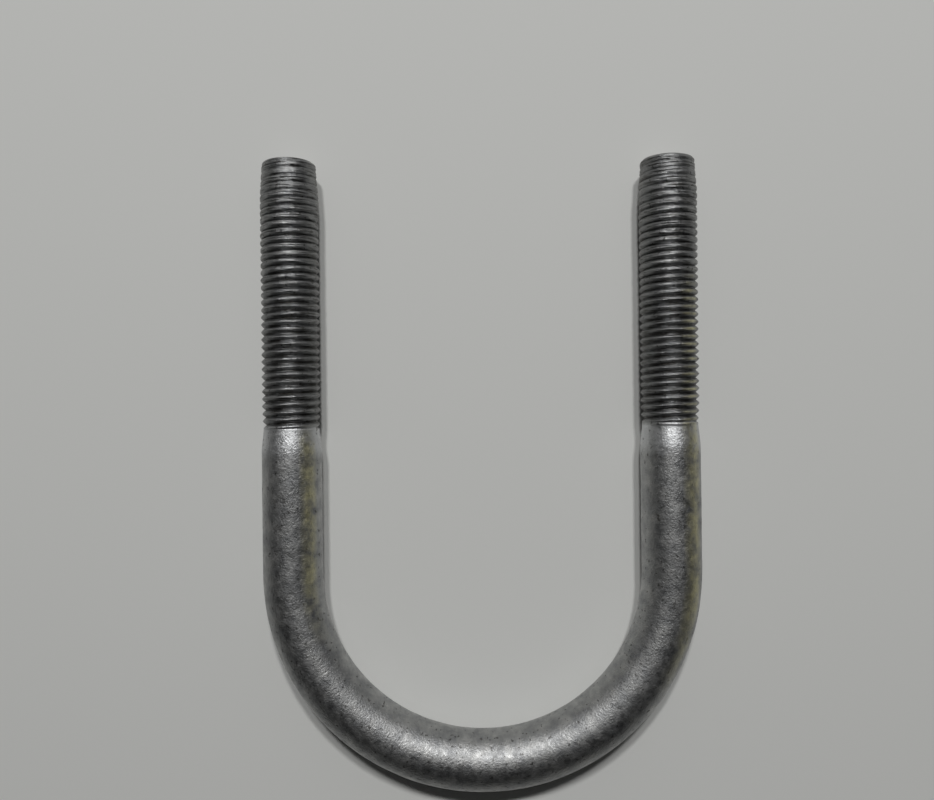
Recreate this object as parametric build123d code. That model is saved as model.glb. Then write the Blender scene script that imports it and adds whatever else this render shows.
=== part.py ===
"""U-bolt: a round galvanised bar bent to a U, with a metric thread rolled on the end of each leg.

The U-bolt lies flat, as it rests on a bench. X runs across the two legs, Y runs along them
with the threaded ends towards +Y, and Z is up. The origin is at resting height, under the
middle of the bounding box. All sizes are in millimetres.
"""

from build123d import *
from build123d.topology import SkipClean
from math import ceil, radians, tan
import os

# Driving dimensions
overall_length = 171.0  # from the threaded ends to the outside of the crown
leg_spacing = 103.0  # between the axes of the two legs
bar_diameter = 16.1  # plain bar, with its zinc coating
thread_diameter = 15.7  # major diameter of the M16 thread, undersize to leave room for its zinc
thread_pitch = 2.0
thread_depth = 1.1  # from crest to root, on the radius
thread_angle = 60.0  # between the two flanks of a groove
crest_width = 0.45  # flat that the thick zinc leaves on each crest
thread_length = 72.5  # threaded stretch of each leg
neck_diameter = 14.9  # bar at the rolling diameter, left bare behind the thread
run_out_length = 3.0  # stretch behind the neck over which the crests reach full height
neck_length = 1.0  # plain stretch of the neck
shoulder_length = 5.5  # cone from the neck up to the full bar
tip_diameter = 12.8  # flat end face of a leg
tip_chamfer = 1.0  # 45 degree chamfer at the end face
tip_taper_length = 9.0  # gentle cone over the first crests, behind the chamfer

# Places that follow from them
bar_radius = bar_diameter / 2
axis_height = bar_radius
bend_radius = leg_spacing / 2
tip_y = overall_length / 2
bend_y = bar_radius + bend_radius - tip_y
thread_start_y = tip_y - thread_length
neck_start_y = thread_start_y - neck_length - shoulder_length
crest_radius = thread_diameter / 2
root_radius = crest_radius - thread_depth
leg_sides = {"left": -1, "right": 1}

# Extra material that is trimmed off or lies inside the core, so that no two faces coincide
crest_trim = 0.15
root_overlap = 0.2
trimmed_turns = 2  # at each end of the ridge
crest_sectors = 8  # each turn of the crest is this many short cylindrical faces
seam_angle = 33.0  # turns the seams of round faces away from the ends of the ridge's turns


def on_leg(side, y):
    """Location on a leg's axis at this y, with its Z along the leg towards the threaded end."""
    return Plane(origin=(side * leg_spacing / 2, y, axis_height), z_dir=(0, 1, 0)).location


def turned(points, angle=360.0):
    """Solid of revolution about Z, from the (radius, z) points of its closed outline."""
    outline = Plane.XZ * make_face(Polyline(*points, close=True))
    return revolve(outline, Axis.Z, angle)


def bend():
    """Half turn of bar that joins the legs."""
    section = on_leg(1, bend_y) * Circle(bar_radius)
    turn_axis = Axis((0, bend_y, axis_height), (0, 0, -1))
    return revolve(section, turn_axis, 180)


def shank():
    """Straight plain bar between the bend and the shoulder, standing on the origin."""
    return extrude(Circle(bar_radius), neck_start_y - bend_y)


def neck():
    """Cone that narrows from the bar, then the short bare neck behind the thread."""
    neck_radius = neck_diameter / 2
    height = shoulder_length + neck_length
    return turned(
        [(0, 0), (bar_radius, 0), (neck_radius, shoulder_length), (neck_radius, height), (0, height)]
    )


def ridge(turns, start_z):
    """Helical ridge of trapezoid section, a little proud of the crest and rooted inside the core."""
    flank = tan(radians(thread_angle / 2))
    top = crest_width / 2 - crest_trim * flank
    foot = crest_width / 2 + (thread_depth + root_overlap) * flank
    outer, inner = crest_radius + crest_trim, root_radius - root_overlap
    corners = [(inner, -foot), (outer, -top), (outer, top), (inner, foot)]
    faces = []
    for turn in range(turns):
        z = start_z + turn * thread_pitch
        rails = [
            Helix(thread_pitch, thread_pitch, radius, center=(0, 0, z + rise)).edge()
            for radius, rise in corners
        ]
        if turn == 0:
            faces.append(make_face(Polyline(*[rail @ 0 for rail in rails], close=True)).face())
        if turn == turns - 1:
            faces.append(make_face(Polyline(*[rail @ 1 for rail in rails], close=True)).face())
        for rail, following in zip(rails, rails[1:] + rails[:1]):
            faces.append(Face.make_surface_from_curves(rail, following))
    return Solid(Shell(faces))


def thread_envelope():
    """Outside of the threaded end: a cone out of the neck, the full diameter, a taper and a chamfer."""
    tip_radius = tip_diameter / 2
    outline = [
        (0, 0),
        (neck_diameter / 2, 0),
        (crest_radius, run_out_length),
        (crest_radius, thread_length - tip_chamfer - tip_taper_length),
        (tip_radius + tip_chamfer, thread_length - tip_chamfer),
        (tip_radius, thread_length),
        (0, thread_length),
    ]
    step = 360 / crest_sectors
    sector = turned(outline, step)
    envelope = sector
    for turn in range(1, crest_sectors):
        envelope += Rot(0, 0, turn * step) * sector
    return Rot(0, 0, seam_angle / 2) * envelope


def thread():
    """Threaded end of a leg, standing on the origin: core and right-hand ridge, cut to the envelope."""
    run_off = trimmed_turns * thread_pitch
    turns = ceil(thread_length / thread_pitch) + 2 * trimmed_turns
    core_length = thread_length + 3 * run_off
    core = Location((0, 0, -1.5 * run_off)) * extrude(Circle(root_radius), core_length)
    with SkipClean():
        blank = Rot(0, 0, seam_angle) * core + ridge(turns, -run_off)
        return blank & thread_envelope()


def build():
    """Every node of the U-bolt, by name."""
    nodes = {"bend": bend()}
    plain, bare, threaded = shank(), neck(), thread()
    for name, side in leg_sides.items():
        nodes[f"{name}_shank"] = on_leg(side, bend_y) * plain
        nodes[f"{name}_neck"] = on_leg(side, neck_start_y) * bare
        nodes[f"{name}_thread"] = on_leg(side, thread_start_y) * threaded
    return nodes


if __name__ == "__main__":
    os.makedirs("parts", exist_ok=True)
    for node, shape in build().items():
        export_step(shape, f"parts/{node}.step")
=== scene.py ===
"""U-bolt: its visible surfaces and galvanised finish, the floor, the light and the camera.

The bar is followed from its crown, the middle of the bend, out to both threaded tips. Lengths
are in metres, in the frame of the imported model.
"""

import bpy
import numpy as np
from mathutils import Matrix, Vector


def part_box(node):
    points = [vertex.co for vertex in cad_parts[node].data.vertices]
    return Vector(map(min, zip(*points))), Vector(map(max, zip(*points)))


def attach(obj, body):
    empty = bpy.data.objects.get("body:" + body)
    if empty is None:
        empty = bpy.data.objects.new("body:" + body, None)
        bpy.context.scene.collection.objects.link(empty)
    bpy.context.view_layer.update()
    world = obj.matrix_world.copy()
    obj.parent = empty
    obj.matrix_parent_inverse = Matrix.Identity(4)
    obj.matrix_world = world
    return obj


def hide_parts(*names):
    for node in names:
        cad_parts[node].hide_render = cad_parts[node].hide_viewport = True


bl_info = {
    "name": "U-bolt",
    "version": (1, 0, 0),
    "blender": (4, 5, 0),
    "location": "View3D > Sidebar > U-bolt",
    "description": "Galvanised U-bolt with two threaded ends, on a pale floor",
    "category": "Object",
}

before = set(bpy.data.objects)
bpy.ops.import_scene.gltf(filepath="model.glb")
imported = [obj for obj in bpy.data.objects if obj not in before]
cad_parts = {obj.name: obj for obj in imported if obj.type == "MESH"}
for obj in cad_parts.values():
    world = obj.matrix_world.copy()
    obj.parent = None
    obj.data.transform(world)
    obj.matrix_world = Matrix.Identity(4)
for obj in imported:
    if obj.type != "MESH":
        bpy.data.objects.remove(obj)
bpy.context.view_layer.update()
MM = 0.001
TURN = 2 * np.pi
REST_GAP = 0.002 * MM  # between the floor and the lowest points
SIDES = {"left": -1, "right": 1}


def span(node, axis):
    """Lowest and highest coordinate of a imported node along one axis."""
    low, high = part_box(node)
    return low[axis], high[axis]


X, Y, Z = 0, 1, 2
BAR_RADIUS = (span("right_shank", X)[1] - span("right_shank", X)[0]) / 2
CREST_RADIUS = (span("right_thread", X)[1] - span("right_thread", X)[0]) / 2
BEND_RADIUS = sum(span("right_shank", X)) / 2
AXIS_HEIGHT = sum(span("right_shank", Z)) / 2
BEND_Y = span("bend", Y)[1]
NECK_Y, NECK_END_Y = span("right_neck", Y)
TIP_Y = span("right_thread", Y)[1]

# Distances along the bar's axis from the crown
BEND_END = BEND_RADIUS * np.pi / 2
NECK_START = BEND_END + NECK_Y - BEND_Y
THREAD_START = BEND_END + NECK_END_Y - BEND_Y
TIP = BEND_END + TIP_Y - BEND_Y

# Rings of points along the bar
PLAIN_SPACING = 0.7 * MM
NECK_SPACING = 0.25 * MM
RINGS_PER_PITCH = 24

# The threads, by the distance from the tip or from the neck
RISE_TURNS = 3.2  # the crests reach full height over this many turns from the neck
TAPER_LENGTH = 11 * MM  # the crests fall over this distance to the tip
WORN_LENGTH = 20 * MM  # the grooves are shallower within this distance of the tip
ROUND_LENGTH = 8 * MM  # the crests are round beads within this distance of the tip
SHARP_LENGTH = 50 * MM  # and sharp beyond this one
RUN_OUT = 0.8 * MM  # the grooves deepen over this distance from the neck
SEAM_WIDTH = 0.10  # half width of the seam along the crests, in turns
CREST_DRIFT = 0.035  # how far slow waves shift the crests, in turns

# Lights, floor and camera
KEY_PLACE = (0.13, 0.82, 1.26)
KEY_SIZE = (0.12, 0.10)
FLOOR_HALF = 3.0
CAMERA_X, CAMERA_Y = -0.0037, 0.0205
CAMERA_TURN = -0.0115


# ---------------------------------------------------------------- sizes and colours


class UBoltShape(bpy.types.PropertyGroup):
    """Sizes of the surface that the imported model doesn't give."""

    pitch: bpy.props.FloatProperty(
        name="Pitch", description="Length of one turn of the thread", default=2.0 * MM, unit="LENGTH"
    )
    thread_depth: bpy.props.FloatProperty(
        name="Thread depth", description="From crest to root, on the radius", default=1.0 * MM,
        unit="LENGTH",
    )
    neck_radius: bpy.props.FloatProperty(
        name="Neck radius", description="Bare neck behind the thread", default=7.47 * MM, unit="LENGTH"
    )
    tip_taper: bpy.props.FloatProperty(
        name="Tip taper", description="How far the crests fall by the tip", default=0.55 * MM,
        unit="LENGTH",
    )
    tip_rounding: bpy.props.FloatProperty(
        name="Tip rounding", description="Radius of the edge of the end face", default=1.3 * MM,
        unit="LENGTH",
    )
    crest_seam: bpy.props.FloatProperty(
        name="Crest seam", description="Depth of the seam along the rolled crests", default=0.24 * MM,
        unit="LENGTH",
    )
    ripple: bpy.props.FloatProperty(
        name="Ripple", description="Height of the slow waves in the zinc", default=0.035 * MM,
        unit="LENGTH",
    )
    around: bpy.props.IntProperty(
        name="Faces around", description="Faces round the bar", default=96, min=24
    )
    left_start: bpy.props.FloatProperty(
        name="Left start", description="Turn, from 0 to 1, at which the left thread starts",
        default=0.36,
    )
    right_start: bpy.props.FloatProperty(
        name="Right start", description="Turn, from 0 to 1, at which the right thread starts",
        default=0.47,
    )
    right_bare: bpy.props.FloatProperty(
        name="Right bare", description="How much later the grooves of the right leg start",
        default=0.6 * MM, unit="LENGTH",
    )


class UBoltFinish(bpy.types.PropertyGroup):
    """Colours of the hot-dip zinc."""

    light_zinc: bpy.props.FloatVectorProperty(
        name="Light zinc", description="Fresh, rubbed zinc", default=(0.50, 0.50, 0.49),
        subtype="COLOR", size=3, min=0, max=1,
    )
    # Painted sheen: a lighter zinc round the shoulders that brightens their highlight
    sheen_zinc: bpy.props.FloatVectorProperty(
        name="Rubbed zinc", description="Bright zinc on the shoulders", default=(0.74, 0.75, 0.76),
        subtype="COLOR", size=3, min=0, max=1,
    )
    dull_zinc: bpy.props.FloatVectorProperty(
        name="Dull zinc", description="Weathered zinc", default=(0.29, 0.295, 0.30),
        subtype="COLOR", size=3, min=0, max=1,
    )
    worn_thread: bpy.props.FloatVectorProperty(
        name="Worn thread", description="Darkened zinc on the flanks of the threads",
        default=(0.30, 0.305, 0.31), subtype="COLOR", size=3, min=0, max=1,
    )
    stain: bpy.props.FloatVectorProperty(
        name="Stain", description="Warm olive stain along the legs", default=(0.80, 0.76, 0.50),
        subtype="COLOR", size=3, min=0, max=1,
    )
    # Dark colour of the pits, scored lines and thread roots; it is also the painted shade on the
    # undersides of the threads
    grime_and_shade: bpy.props.FloatVectorProperty(
        name="Grime", description="Dark dirt in pits and grooves", default=(0.05, 0.047, 0.04),
        subtype="COLOR", size=3, min=0, max=1,
    )


class UBoltStage(bpy.types.PropertyGroup):
    """Floor, light and camera."""

    floor: bpy.props.FloatVectorProperty(
        name="Floor", description="Colour of the floor", default=(0.78, 0.785, 0.76),
        subtype="COLOR", size=3, min=0, max=1,
    )
    camera_height: bpy.props.FloatProperty(
        name="Camera height", description="Above the floor", default=0.2395, unit="LENGTH"
    )
    key_power: bpy.props.FloatProperty(
        name="Key power", description="Power of the main light in watts", default=12.5
    )
    lens: bpy.props.FloatProperty(
        name="Lens", description="Focal length on a 36 mm sensor", default=32.76, unit="CAMERA"
    )


# ---------------------------------------------------------------- surfaces


def smooth_step(low, high, value):
    """0 below low and 1 above high, with the cubic 3 t^2 - 2 t^3 between them."""
    t = np.clip((value - low) / (high - low), 0, 1)
    return t * t * (3 - 2 * t)


def ripple(along, angle, seed, waves=28, longest=0.03, shortest=0.004):
    """Slow waves in the zinc, from about -1 to 1.

    The sum of seeded sine waves: each has a wavelength along the bar between the shortest and the
    longest, and a whole number of waves round it, so that the surface closes on itself.
    """
    draw = np.random.default_rng(seed)
    lengths = longest * (shortest / longest) ** draw.random(waves)
    rounds = draw.integers(-4, 5, waves)
    phases = draw.random(waves) * TURN
    weights = (lengths / longest) ** 0.5
    total = np.zeros(np.broadcast(along, angle).shape)
    for length, count, phase, weight in zip(lengths, rounds, phases, weights):
        total += weight * np.sin(TURN * along / length + count * angle + phase)
    return total / np.sqrt((weights**2).sum() / 2) / 2


def bar_points(along, angle, radius):
    """Points of the bar's surface.

    The axis is a half circle round the bend's centre, and goes on straight along +Y on both
    sides. The radius is laid off from the axis at this angle, which is 0 away from the middle of
    the U and a quarter turn straight up. No point goes below the floor.
    """
    turned = np.clip(along, -BEND_END, BEND_END) / BEND_RADIUS
    straight = np.abs(along) - np.abs(turned) * BEND_RADIUS
    out_x, out_y = np.sin(turned), -np.cos(turned)
    reach = BEND_RADIUS + radius * np.cos(angle)
    x = reach * out_x
    y = BEND_Y + reach * out_y + straight
    z = np.maximum(AXIS_HEIGHT + radius * np.sin(angle), REST_GAP)
    return np.stack(np.broadcast_arrays(x, y, z), axis=-1)


def add_skin(name, along, radius, groove, node, shape):
    """One closed piece of the bar: rings of points at each distance along it, and a fan at each end.

    radius and groove are arrays of one row per ring and one column per angle. The edges of both
    end rings are sharp, so that the shading of the flat ends doesn't run on along the bar. Each
    point keeps its place on the straightened bar, and its depth in a groove, for the finish.
    """
    around = shape.around
    angle = np.arange(around) * TURN / around
    rings = len(along)
    points = bar_points(along[:, None], angle[None, :], radius)
    centres = bar_points(along[[0, -1]], np.zeros(2), np.zeros(2))
    vertices = np.concatenate([points.reshape(-1, 3), centres])

    row, column = np.meshgrid(np.arange(rings - 1), np.arange(around), indexing="ij")
    following = (column + 1) % around
    quads = np.stack(
        [row * around + column, (row + 1) * around + column,
         (row + 1) * around + following, row * around + following], axis=-1
    ).reshape(-1, 4)
    ring, beside = np.arange(around), (np.arange(around) + 1) % around
    first, last = rings * around, rings * around + 1
    low_fan = np.stack([np.full(around, first), ring, beside], axis=-1)
    high_fan = np.stack([np.full(around, last), (rings - 1) * around + beside,
                         (rings - 1) * around + ring], axis=-1)

    mesh = bpy.data.meshes.new(name)
    mesh.from_pydata(vertices.tolist(), [], quads.tolist() + low_fan.tolist() + high_fan.tolist())
    mesh.update()
    smooth = np.concatenate([np.ones(len(quads), bool), np.zeros(2 * around, bool)])
    mesh.polygons.foreach_set("use_smooth", smooth)
    ends_of_edges = np.zeros(2 * len(mesh.edges), np.int32)
    mesh.edges.foreach_get("vertices", ends_of_edges)
    ring_of_ends = ends_of_edges.reshape(-1, 2) // around
    in_end_ring = (ring_of_ends == 0).all(1) | (ring_of_ends == rings - 1).all(1)
    sharp = mesh.attributes.new("sharp_edge", "BOOLEAN", "EDGE")
    sharp.data.foreach_set("value", in_end_ring)

    rolled_out = np.stack(
        np.broadcast_arrays(along[:, None], radius * np.cos(angle), radius * np.sin(angle)), axis=-1
    ).reshape(-1, 3)
    ends = np.stack([along[[0, -1]], np.zeros(2), np.zeros(2)], axis=-1)
    straightened = mesh.attributes.new("straightened", "FLOAT_VECTOR", "POINT")
    places = np.concatenate([rolled_out, ends]).astype(np.float32)
    straightened.data.foreach_set("vector", places.ravel())
    depth = mesh.attributes.new("groove", "FLOAT", "POINT")
    depth.data.foreach_set("value", np.concatenate([groove.ravel(), [0, 0]]).astype(np.float32))

    piece = bpy.data.objects.new(name, mesh)
    bpy.context.scene.collection.objects.link(piece)
    mesh.materials.append(zinc())
    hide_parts(node)
    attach(piece, "root")
    return piece


def plain_radius(along, angle, shape):
    """Radius of the plain bar: round, with the zinc's slow waves."""
    return BAR_RADIUS + shape.ripple * ripple(along, angle, seed=5)


def ring_grid(start, end, spacing, shape):
    """Distances along the bar from start to end, and the angles round it, as a column and a row."""
    count = int(np.ceil(abs(end - start) / spacing)) + 1
    along = np.linspace(start, end, count)
    angle = np.arange(shape.around) * TURN / shape.around
    return along, along[:, None], angle[None, :]


def neck_radius(along, angle, shape):
    """Radius from the neck up to the full bar: a quarter sine to the power 1.3, level at the bar."""
    t = np.clip((THREAD_START - np.abs(along)) / (THREAD_START - NECK_START), 0, 1)
    plain = plain_radius(along, angle, shape)
    return shape.neck_radius + (plain - shape.neck_radius) * np.sin(t * np.pi / 2) ** 1.3


def crest_envelope(distance, bare, shape):
    """Radius of the thread's crests at this distance along the bar.

    They rise out of the neck over three turns, keep the full radius, taper towards the tip and
    turn a quarter circle down to the flat end face.
    """
    from_start = distance - THREAD_START - bare
    to_tip = TIP - distance
    rise = np.clip(from_start / (RISE_TURNS * shape.pitch), 0, 1)
    start = shape.neck_radius + (CREST_RADIUS - shape.neck_radius) * np.sin(rise * np.pi / 2)
    taper = shape.tip_taper * (1 - smooth_step(0, TAPER_LENGTH, to_tip))
    turned = np.clip(1 - to_tip / shape.tip_rounding, 0, 1)
    return start - taper - shape.tip_rounding * (1 - np.sqrt(1 - turned**2))


def thread_profile(turns, sharpness):
    """Height of the thread's section, 0 in the root and 1 at the crest, at this count of turns.

    With u from 0 at the crest to 1 at the root, the height is (1 - u^a)^b. It is a 60 degree V
    where the thread is sharp, and a row of round beads with narrow grooves where it is worn: as it
    sharpens, a falls from 2.3 to 1.25 and b rises from 0.62 to 0.95.
    """
    u = 1 - 2 * np.abs(turns - np.floor(turns + 0.5))
    a = 2.3 - 1.05 * sharpness
    b = 0.62 + 0.33 * sharpness
    return (1 - u**a) ** b


def thread_radius(along, angle, side, start, bare, shape):
    """Radius and groove depth over a threaded end.

    The section of the thread moves on by one pitch for each turn round the bar, as a right-hand
    thread does on both legs, and its grooves run out before the neck. A narrow seam of bell-shaped
    section runs along the crests, in places, and slow waves shift the crests a little.
    """
    distance = np.abs(along)
    turns = (distance - THREAD_START) / shape.pitch + side * angle / TURN + start
    turns = turns + CREST_DRIFT * ripple(along, angle, seed=13, longest=0.012, shortest=0.003)
    to_tip = TIP - distance
    sharpness = smooth_step(ROUND_LENGTH, SHARP_LENGTH, to_tip)
    height = thread_profile(turns, sharpness)
    run_out = smooth_step(0, RUN_OUT, distance - THREAD_START - bare)
    worn = 0.35 + 0.65 * smooth_step(0, WORN_LENGTH, to_tip)
    envelope = crest_envelope(distance, bare, shape)
    envelope = envelope + 0.6 * shape.ripple * ripple(along, angle, seed=9, shortest=0.002)
    off_crest = turns - np.floor(turns) - 0.5
    patches = smooth_step(-0.5, 0.4, ripple(along, angle, seed=21, longest=0.016, shortest=0.003))
    seam = shape.crest_seam * np.exp(-((off_crest / SEAM_WIDTH) ** 2)) * patches * run_out
    seam = seam * (1 - 0.8 * sharpness)
    radius = envelope - shape.thread_depth * worn * (1 - height) * run_out - seam
    groove = np.clip((envelope - radius) / shape.thread_depth, 0, 1)
    return radius, groove


# ---------------------------------------------------------------- finish


def new_node(tree, kind, x, y, **inputs):
    """A node of this kind at a place in the editor, with its inputs set by name."""
    node = tree.nodes.new(kind)
    node.location = (x, y)
    for name, value in inputs.items():
        node.inputs[name.replace("_", " ")].default_value = value
    return node


def noise(tree, vector, scale, detail, roughness, x, y):
    """Fractal noise on the given coordinates."""
    node = new_node(tree, "ShaderNodeTexNoise", x, y, Scale=scale, Detail=detail, Roughness=roughness)
    tree.links.new(vector, node.inputs["Vector"])
    return node.outputs["Fac"]


def ramp(tree, value, low, high, x, y, start=0, end=1):
    """Linear ramp from start at low to end at high, held between them."""
    node = new_node(tree, "ShaderNodeMapRange", x, y)
    for name, number in (("From Min", low), ("From Max", high), ("To Min", start), ("To Max", end)):
        node.inputs[name].default_value = number
    tree.links.new(value, node.inputs["Value"])
    return node.outputs["Result"]


def combine(tree, operation, *values, x, y):
    """Arithmetic on values, any of which may be a number."""
    node = new_node(tree, "ShaderNodeMath", x, y)
    node.operation = operation
    for socket, value in zip(node.inputs, values):
        if isinstance(value, (int, float)):
            socket.default_value = value
        else:
            tree.links.new(value, socket)
    return node.outputs[0]


def product(tree, *values, x, y):
    """Product of two or more values, each node beside the last."""
    result = values[0]
    for step, value in enumerate(values[1:]):
        result = combine(tree, "MULTIPLY", result, value, x=x + 150 * step, y=y)
    return result


def stretched(tree, vector, factors, x, y):
    """Coordinates multiplied by a factor on each axis."""
    node = new_node(tree, "ShaderNodeVectorMath", x, y)
    node.operation = "MULTIPLY"
    node.inputs[1].default_value = factors
    tree.links.new(vector, node.inputs[0])
    return node.outputs[0]


def parts(tree, vector, x, y):
    """The three parts of a vector, as outputs named X, Y and Z."""
    node = new_node(tree, "ShaderNodeSeparateXYZ", x, y)
    tree.links.new(vector, node.inputs[0])
    return node.outputs


def tint(tree, factor, under, over, x, y):
    """The colour under, covered by the colour over where the factor is 1."""
    node = new_node(tree, "ShaderNodeMix", x, y)
    node.data_type = "RGBA"
    for socket, value in ((node.inputs[0], factor), (node.inputs[6], under), (node.inputs[7], over)):
        if hasattr(value, "is_linked"):
            tree.links.new(value, socket)
        elif isinstance(value, (int, float)):
            socket.default_value = value
        else:
            socket.default_value = (*value, 1)
    return node.outputs[2]


def bump(tree, height, distance, under, x, y):
    """Bump of this height in metres, on top of another bump's normal if one is given."""
    node = new_node(tree, "ShaderNodeBump", x, y, Strength=1.0, Distance=distance)
    tree.links.new(height, node.inputs["Height"])
    if under is not None:
        tree.links.new(under, node.inputs["Normal"])
    return node.outputs["Normal"]


# Side, turn round the bar in degrees, nearest and farthest distance from the crown, and half width
STREAKS = (
    (-1, 134, 72 * MM, 118 * MM, 3.0 * MM),
    (1, 56, 62 * MM, 158 * MM, 3.4 * MM),
)
STREAK_FADE = 12 * MM

# Noise in the zinc: waves per metre, detail, and how strong the finer waves are
MOTTLE = (260, 5, 0.6)
COARSE = (700, 2, 0.5)
GRAIN = (1700, 3, 0.75)
SPECKS = (900, 1, 0.5)
RINGS = (190, 3, 0.55)
LINES = (210, 3, 0.6)
RING_SQUEEZE = (4, 1, 1)  # rings are this much shorter along the bar than round it
LINE_SQUEEZE = (12, 1, 1)

# Heights of the bumps
LINE_HEIGHT = 0.34 * MM
RING_HEIGHT = 0.04 * MM
COARSE_HEIGHT = 0.04 * MM
GRAIN_HEIGHT = 0.13 * MM

# How much of the zinc each layer hides where it is strongest
WORN_ON_CRESTS = 0.30
WORN_MORE_IN_GROOVES = 0.55
SCORE_COVER = 0.75
# Painted sheen on the shoulders: how much of the zinc the lighter colour hides
SHEEN_COVER = 0.6
PIT_COVER = 0.6
ROOT_COVER = 0.9
# Painted shade: how dark the threads are painted on their undersides, towards the floor
UNDERSIDE_SHADE_COVER = 0.6
POLISH = 0.08  # how much smoother the threads and shoulders are


def streak(tree, spot, side, degrees, near, far, half_width, x, y):
    """1 on a line along the bar at this turn round it, 0 from half a width away and past its ends."""
    turn = np.radians(degrees)
    section = stretched(tree, spot, (0, 1, 1), x, y)
    away = new_node(tree, "ShaderNodeVectorMath", x + 200, y)
    away.operation = "DISTANCE"
    away.inputs[1].default_value = (0, BAR_RADIUS * np.cos(turn), BAR_RADIUS * np.sin(turn))
    tree.links.new(section, away.inputs[0])
    across = ramp(tree, away.outputs["Value"], half_width, 0.3 * half_width, x + 400, y)
    distance = product(tree, parts(tree, spot, x, y + 200)["X"], side, x=x + 200, y=y + 200)
    begins = ramp(tree, distance, near - STREAK_FADE, near + STREAK_FADE, x + 400, y + 200)
    ends = ramp(tree, distance, far + STREAK_FADE / 3, far - STREAK_FADE / 3, x + 400, y + 400)
    return product(tree, begins, ends, across, x=x + 600, y=y + 300)


def zinc_patterns(tree):
    """Masks and noises that the zinc is made of, by name, all fixed to the straightened bar."""
    place = new_node(tree, "ShaderNodeAttribute", -2200, 0)
    place.attribute_name = "straightened"
    spot = place.outputs["Vector"]
    depth = new_node(tree, "ShaderNodeAttribute", -2200, -300)
    depth.attribute_name = "groove"
    squeezed = stretched(tree, spot, RING_SQUEEZE, -2000, -600)
    drawn_out = stretched(tree, spot, LINE_SQUEEZE, -2000, -1200)
    split = parts(tree, spot, -2000, 900)
    distance = combine(tree, "ABSOLUTE", split["X"], x=-1800, y=900)
    threaded = ramp(tree, distance, THREAD_START, THREAD_START + 1.5 * MM, -1600, 900)
    shoulder = ramp(tree, distance, NECK_START - 1.5 * MM, NECK_START + 1.5 * MM, -1600, 1150)
    shoulder = combine(tree, "SUBTRACT", shoulder, threaded, x=-1400, y=1150)
    return {
        "spot": spot,
        "groove": depth.outputs["Fac"],
        "threaded": threaded,
        # Shoulders: a painted sheen in the colour, and smoother zinc in the roughness
        "shoulder_sheen": product(tree, shoulder, SHEEN_COVER, x=-1200, y=1150),
        # Painted shade: 1 low on the bar, falling to 0 near its top; it darkens the undersides of the
        # threads
        "low": ramp(tree, split["Z"], 6.5 * MM, -1.0 * MM, -1600, 1400),
        "mottle": noise(tree, spot, *MOTTLE, -1600, 300),
        "grain": noise(tree, spot, *GRAIN, -1600, 0),
        "coarse": noise(tree, spot, *COARSE, -1600, -300),
        "rings": noise(tree, squeezed, *RINGS, -1600, -600),
        "specks": noise(tree, spot, *SPECKS, -1600, -900),
        "lines": noise(tree, drawn_out, *LINES, -1600, -1200),
    }


def zinc_colour(tree, pattern, finish):
    """Mottled zinc, then worn threads, scored lines, painted sheen on the shoulders, pits, dark thread
    roots, painted shade under the threads and streaks.
    """
    groove, threaded = pattern["groove"], pattern["threaded"]
    colour = tint(tree, ramp(tree, pattern["mottle"], 0.32, 0.68, -1150, 300),
                  finish.dull_zinc, finish.light_zinc, -900, 300)

    worn = ramp(tree, groove, 0.02, 0.40, -1150, 100)
    worn = combine(tree, "MULTIPLY_ADD", worn, WORN_MORE_IN_GROOVES, WORN_ON_CRESTS, x=-1000, y=100)
    worn = product(tree, worn, threaded, x=-900, y=100)
    scored = ramp(tree, pattern["lines"], 0.52, 0.34, -1150, -1050)
    scored = product(tree, scored, threaded, SCORE_COVER, x=-900, y=-1050)
    pits = ramp(tree, pattern["specks"], 0.66, 0.72, -1150, -900)
    pits = product(tree, pits, PIT_COVER, x=-900, y=-900)
    broken = ramp(tree, pattern["rings"], 0.30, 0.62, -1150, -300)
    root = ramp(tree, groove, 0.35, 0.85, -1150, -150)
    root = product(tree, root, broken, ROOT_COVER, x=-1000, y=-150)
    # Painted shade: the threads are painted darker towards the floor, on their undersides and sides
    underside_shade = product(tree, pattern["low"], threaded, UNDERSIDE_SHADE_COVER, x=-1100, y=1400)
    layers = (
        (worn, finish.worn_thread), (scored, finish.grime_and_shade), (pattern["shoulder_sheen"], finish.sheen_zinc),
        (pits, finish.grime_and_shade), (root, finish.grime_and_shade), (underside_shade, finish.grime_and_shade),
    )
    for step, (cover, over) in enumerate(layers):
        colour = tint(tree, cover, colour, over, -700 + 150 * step, 300)

    patchy = ramp(tree, pattern["mottle"], 0.30, 0.62, -1150, 600)
    clean = ramp(tree, groove, 0.40, 0.05, -1150, 750)
    for row, line in enumerate(STREAKS):
        along_leg = streak(tree, pattern["spot"], *line, -1400, 1800 + 700 * row)
        amount = product(tree, along_leg, patchy, clean, x=0, y=700 + 200 * row)
        colour = tint(tree, amount, colour, finish.stain, 300 + 150 * row, 300)
    return colour


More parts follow.
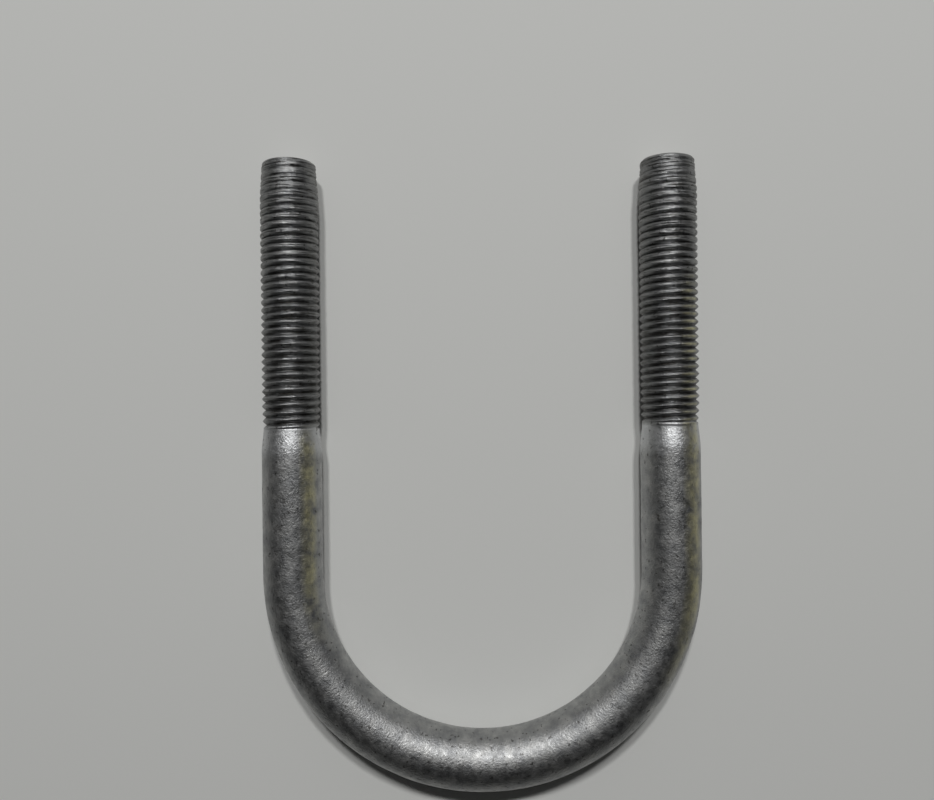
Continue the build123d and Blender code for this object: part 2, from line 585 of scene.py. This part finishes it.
def zinc():
    """Hot-dip zinc: dull mottled grey, grainy, with dark pits, faint rings and a warm stain."""
    found = bpy.data.materials.get("hot_dip_zinc")
    if found:
        return found
    material = bpy.data.materials.new("hot_dip_zinc")
    material.use_nodes = True
    tree = material.node_tree
    shader = tree.nodes["Principled BSDF"]
    shader.inputs["Metallic"].default_value = 1.0
    pattern = zinc_patterns(tree)

    colour = zinc_colour(tree, pattern, bpy.context.scene.ubolt_finish)
    tree.links.new(colour, shader.inputs["Base Color"])

    dull = ramp(tree, pattern["coarse"], 0.3, 0.7, -500, 0, start=0.40, end=0.56)
    smoother = combine(tree, "ADD", pattern["threaded"], pattern["shoulder_sheen"], x=-700, y=-100)
    smoother = product(tree, smoother, POLISH, x=-500, y=-150)
    roughness = combine(tree, "SUBTRACT", dull, smoother, x=-300, y=0)
    tree.links.new(roughness, shader.inputs["Roughness"])

    lined = product(tree, pattern["lines"], pattern["threaded"], x=-900, y=-1200)
    normal = bump(tree, lined, LINE_HEIGHT, None, -900, -600)
    normal = bump(tree, pattern["rings"], RING_HEIGHT, normal, -700, -600)
    normal = bump(tree, pattern["coarse"], COARSE_HEIGHT, normal, -500, -500)
    normal = bump(tree, pattern["grain"], GRAIN_HEIGHT, normal, -300, -400)
    tree.links.new(normal, shader.inputs["Normal"])
    return material


def floor_paint(colour):
    """Plain matt floor."""
    material = bpy.data.materials.new("floor")
    material.use_nodes = True
    shader = material.node_tree.nodes["Principled BSDF"]
    shader.inputs["Base Color"].default_value = (*colour, 1)
    shader.inputs["Roughness"].default_value = 0.9
    return material


# ---------------------------------------------------------------- operators


class UBOLT_OT_bend(bpy.types.Operator):
    """Add the half turn of bar that joins the legs."""

    bl_idname = "ubolt.bend"
    bl_label = "Bend"

    def execute(self, context):
        shape = context.scene.ubolt_shape
        along, column, angle = ring_grid(-BEND_END, BEND_END, PLAIN_SPACING, shape)
        radius = plain_radius(column, angle, shape)
        add_skin("bend_skin", along, radius, np.zeros(radius.shape), "bend", shape)
        return {"FINISHED"}


class UBOLT_OT_shanks(bpy.types.Operator):
    """Add the straight plain bar of both legs."""

    bl_idname = "ubolt.shanks"
    bl_label = "Shanks"

    def execute(self, context):
        shape = context.scene.ubolt_shape
        for name, side in SIDES.items():
            start, end = sorted([side * BEND_END, side * NECK_START])
            along, column, angle = ring_grid(start, end, PLAIN_SPACING, shape)
            radius = plain_radius(column, angle, shape)
            no_groove = np.zeros(radius.shape)
            add_skin(f"{name}_shank_skin", along, radius, no_groove, f"{name}_shank", shape)
        return {"FINISHED"}


class UBOLT_OT_necks(bpy.types.Operator):
    """Add the necks, where the bar narrows behind the thread."""

    bl_idname = "ubolt.necks"
    bl_label = "Necks"

    def execute(self, context):
        shape = context.scene.ubolt_shape
        for name, side in SIDES.items():
            start, end = sorted([side * NECK_START, side * THREAD_START])
            along, column, angle = ring_grid(start, end, NECK_SPACING, shape)
            radius = neck_radius(column, angle, shape)
            no_groove = np.zeros(radius.shape)
            add_skin(f"{name}_neck_skin", along, radius, no_groove, f"{name}_neck", shape)
        return {"FINISHED"}


class UBOLT_OT_threads(bpy.types.Operator):
    """Add the threaded ends."""

    bl_idname = "ubolt.threads"
    bl_label = "Threads"

    def execute(self, context):
        shape = context.scene.ubolt_shape
        starts = {"left": (shape.left_start, 0), "right": (shape.right_start, shape.right_bare)}
        for name, side in SIDES.items():
            start, end = sorted([side * THREAD_START, side * TIP])
            along, column, angle = ring_grid(start, end, shape.pitch / RINGS_PER_PITCH, shape)
            radius, groove = thread_radius(column, angle, side, *starts[name], shape)
            add_skin(f"{name}_thread_skin", along, radius, groove, f"{name}_thread", shape)
        return {"FINISHED"}


def add_panel(name, place, size, power):
    """A soft rectangular light that faces the origin."""
    data = bpy.data.lights.new(name, "AREA")
    data.shape = "RECTANGLE"
    data.size, data.size_y = size
    data.energy = power
    lamp = bpy.data.objects.new(name, data)
    lamp.location = place
    lamp.rotation_euler = (-Vector(place)).to_track_quat("-Z", "Y").to_euler()
    bpy.context.scene.collection.objects.link(lamp)


def room():
    """Dim room round the object, darker towards -Y."""
    world = bpy.data.worlds.new("room")
    world.use_nodes = True
    tree = world.node_tree
    direction = new_node(tree, "ShaderNodeTexCoord", -900, 0)
    forward = parts(tree, direction.outputs["Generated"], -700, 0)["Y"]
    level = ramp(tree, forward, -0.1, 0.7, -500, 0)
    strength = combine(tree, "MULTIPLY_ADD", level, 0.14, 0.006, x=-300, y=0)
    tree.links.new(strength, tree.nodes["Background"].inputs["Strength"])
    tree.nodes["Background"].inputs["Color"].default_value = (1, 1, 1, 1)
    return world


class UBOLT_OT_stage(bpy.types.Operator):
    """Add the floor, the light and the camera."""

    bl_idname = "ubolt.stage"
    bl_label = "Stage"

    def execute(self, context):
        stage = context.scene.ubolt_stage
        scene = context.scene
        half = FLOOR_HALF
        mesh = bpy.data.meshes.new("floor")
        corners = [(-half, -half, 0), (half, -half, 0), (half, half, 0), (-half, half, 0)]
        mesh.from_pydata(corners, [], [(0, 1, 2, 3)])
        mesh.materials.append(floor_paint(stage.floor))
        floor = bpy.data.objects.new("floor", mesh)
        scene.collection.objects.link(floor)

        scene.world = room()
        x, y, z = KEY_PLACE
        for name, side in SIDES.items():
            add_panel(f"{name}_key", (side * x, y, z), KEY_SIZE, stage.key_power / 2)

        data = bpy.data.cameras.new("camera")
        data.sensor_width = 36
        data.lens = stage.lens
        camera = bpy.data.objects.new("camera", data)
        camera.location = (CAMERA_X, CAMERA_Y, stage.camera_height)
        camera.rotation_euler = (0, 0, CAMERA_TURN)
        scene.collection.objects.link(camera)
        scene.camera = camera
        scene.view_settings.view_transform = "Standard"
        return {"FINISHED"}


class UBOLT_PT_panel(bpy.types.Panel):
    """Lists the sizes, the colours and the operators."""

    bl_idname = "UBOLT_PT_panel"
    bl_label = "U-bolt"
    bl_space_type = "VIEW_3D"
    bl_region_type = "UI"
    bl_category = "U-bolt"

    def draw(self, context):
        for group in (context.scene.ubolt_shape, context.scene.ubolt_finish, context.scene.ubolt_stage):
            box = self.layout.box()
            for name in group.__annotations__:
                box.prop(group, name)
        for operator in OPERATORS:
            self.layout.operator(operator.bl_idname)


OPERATORS = (UBOLT_OT_bend, UBOLT_OT_shanks, UBOLT_OT_necks, UBOLT_OT_threads, UBOLT_OT_stage)
GROUPS = {"ubolt_shape": UBoltShape, "ubolt_finish": UBoltFinish, "ubolt_stage": UBoltStage}


def register():
    """Register every class and hang the property groups on the scene."""
    for group in GROUPS.values():
        bpy.utils.register_class(group)
    for operator in OPERATORS:
        bpy.utils.register_class(operator)
    bpy.utils.register_class(UBOLT_PT_panel)
    for name, group in GROUPS.items():
        setattr(bpy.types.Scene, name, bpy.props.PointerProperty(type=group))


def unregister():
    """Take the property groups and every class away again."""
    for name in GROUPS:
        delattr(bpy.types.Scene, name)
    bpy.utils.unregister_class(UBOLT_PT_panel)
    for operator in reversed(OPERATORS):
        bpy.utils.unregister_class(operator)
    for group in reversed(list(GROUPS.values())):
        bpy.utils.unregister_class(group)


def main():
    register()
    bpy.ops.ubolt.bend()
    bpy.ops.ubolt.shanks()
    bpy.ops.ubolt.necks()
    bpy.ops.ubolt.threads()
    bpy.ops.ubolt.stage()


if __name__ == "__main__":
    main()
